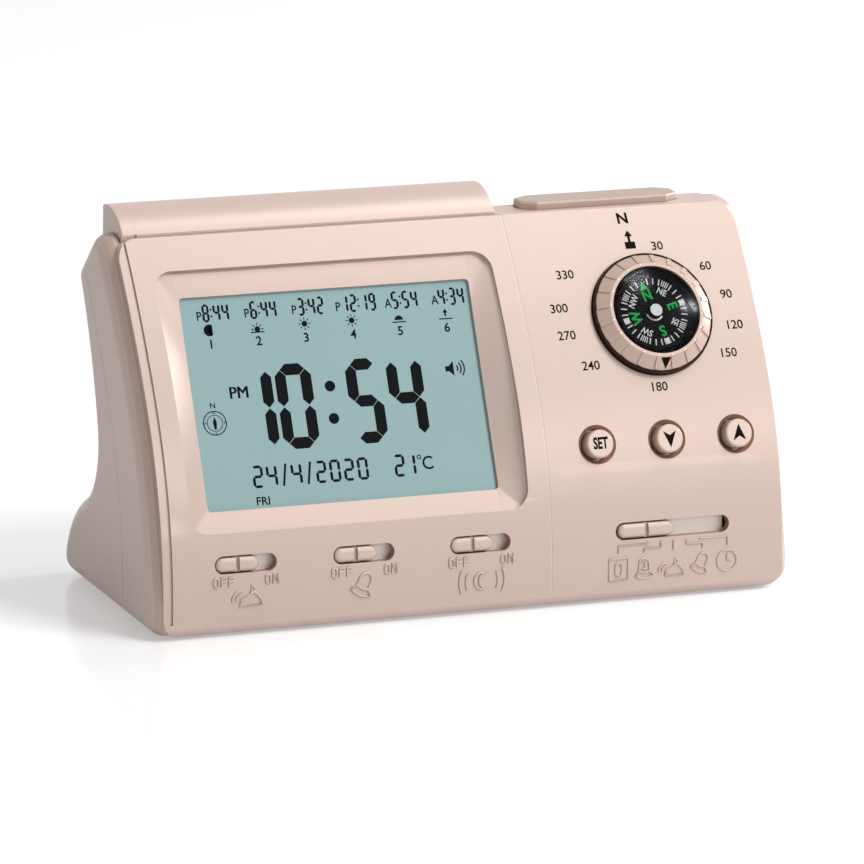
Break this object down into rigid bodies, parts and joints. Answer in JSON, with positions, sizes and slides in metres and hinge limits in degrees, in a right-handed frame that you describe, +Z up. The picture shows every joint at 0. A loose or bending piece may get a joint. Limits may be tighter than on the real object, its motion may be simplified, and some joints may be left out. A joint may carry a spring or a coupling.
{
  "type": "desk alarm clock with compass",
  "caption": "Leaning desk alarm clock with a recessed display, a compass in a turning bezel, slide switches, push buttons and a long snooze bar on top.",
  "frame": {"origin": "on the table, in the middle of the clock's footprint, under the feet", "axes": "+X to the right of a viewer in front of the display, +Y to the back, +Z up"},
  "size_m": [0.155, 0.0618, 0.0889],
  "materials": {
    "shell_paint": "satin rose champagne paint on moulded plastic",
    "dark_rubber": "soft matt",
    "steel": "plain",
    "lcd_glass": "grey-green display glass, satin polarizer",
    "light_guide": "clear polished edge",
    "white_plastic": "moulded",
    "zebra": "striped elastomer",
    "board_green": "solder mask",
    "blob_black": "cured resin",
    "screw_steel": "bright zinc",
    "switch_black": "moulded",
    "button_paint": "satin rose champagne paint on moulded plastic",
    "bezel_paint": "satin rose champagne paint on moulded plastic",
    "cup_black": "moulded",
    "card_black": "printed disc",
    "magnet_grey": "plain",
    "lens_clear": "polished clear dome",
    "speaker_steel": "pressed steel",
    "cone_black": "paper cone",
    "cell_wrap": "plain foil sleeve"
  },
  "bodies": {
    "case": {"front_shell": "shell_paint", "rear_shell": "shell_paint", "rubber_feet": "dark_rubber", "case_screws": "screw_steel", "lcd_panel": "lcd_glass", "backlight_panel": "light_guide", "lcd_holder": "white_plastic", "zebra_strip": "zebra", "main_board": "board_green", "controller_blob": "blob_black", "board_screws": "screw_steel", "top_board": "board_green", "top_switches": "switch_black", "button_board": "board_green", "button_switches": "switch_black", "switch_board": "board_green", "slide_switches": "switch_black", "mode_switch": "switch_black", "compass_cup": "cup_black", "compass_pivot": "steel", "compass_lens": "lens_clear", "compass_bracket": "cup_black", "speaker_frame": "speaker_steel", "speaker_magnet": "magnet_grey", "speaker_cone": "cone_black", "speaker_screws": "screw_steel", "batteries": "cell_wrap", "battery_springs": "steel", "battery_plates": "steel"},
    "snooze": {"snooze_bar": "button_paint"},
    "light": {"light_button": "button_paint"},
    "set_key": {"set_button": "button_paint"},
    "down_key": {"down_button": "button_paint"},
    "up_key": {"up_button": "button_paint"},
    "azan_slider": {"azan_switch_knob": "button_paint"},
    "alarm_slider": {"alarm_switch_knob": "button_paint"},
    "snooze_slider": {"snooze_switch_knob": "button_paint"},
    "mode_slider": {"mode_switch_knob": "button_paint"},
    "bezel": {"bezel_ring": "bezel_paint", "bezel_clip": "cup_black"},
    "card": {"compass_card": "card_black", "card_magnet": "magnet_grey"},
    "door": {"battery_door": "shell_paint"}
  },
  "joints": [
    {"name": "snooze_press", "type": "slide", "parent": "case", "child": "snooze", "axis": [0, 0, -1], "range_m": [0, 0.0008], "stiffness_N_per_m": 1500, "springref_m": -0.0008},
    {"name": "light_press", "type": "slide", "parent": "case", "child": "light", "axis": [0, 0, -1], "range_m": [0, 0.0008], "stiffness_N_per_m": 1500, "springref_m": -0.0008},
    {"name": "set_press", "type": "slide", "parent": "case", "child": "set_key", "axis": [0, 0.9395, -0.3426], "range_m": [0, 0.0006], "stiffness_N_per_m": 1200, "springref_m": -0.0008},
    {"name": "down_press", "type": "slide", "parent": "case", "child": "down_key", "axis": [0, 0.9395, -0.3426], "range_m": [0, 0.0006], "stiffness_N_per_m": 1200, "springref_m": -0.0008},
    {"name": "up_press", "type": "slide", "parent": "case", "child": "up_key", "axis": [0, 0.9395, -0.3426], "range_m": [0, 0.0006], "stiffness_N_per_m": 1200, "springref_m": -0.0008},
    {"name": "azan_slide", "type": "slide", "parent": "case", "child": "azan_slider", "axis": [1, 0, 0], "range_m": [0, 0.00395]},
    {"name": "alarm_slide", "type": "slide", "parent": "case", "child": "alarm_slider", "axis": [1, 0, 0], "range_m": [0, 0.00395]},
    {"name": "snooze_slide", "type": "slide", "parent": "case", "child": "snooze_slider", "axis": [1, 0, 0], "range_m": [0, 0.00395]},
    {"name": "mode_slide", "type": "slide", "parent": "case", "child": "mode_slider", "axis": [1, 0, 0], "range_m": [0, 0.0129]},
    {"name": "bezel_turn", "type": "hinge", "parent": "case", "child": "bezel", "pos_m": [0.049, -0.01167, 0.0618], "axis": [0, -0.8393, 0.5436], "continuous": true},
    {"name": "card_turn", "type": "hinge", "parent": "case", "child": "card", "pos_m": [0.049, -0.01167, 0.0618], "axis": [0, -0.8393, 0.5436], "continuous": true},
    {"name": "door_slide", "type": "slide", "parent": "case", "child": "door", "axis": [0, 1, 0], "range_m": [0, 0.012]}
  ]
}
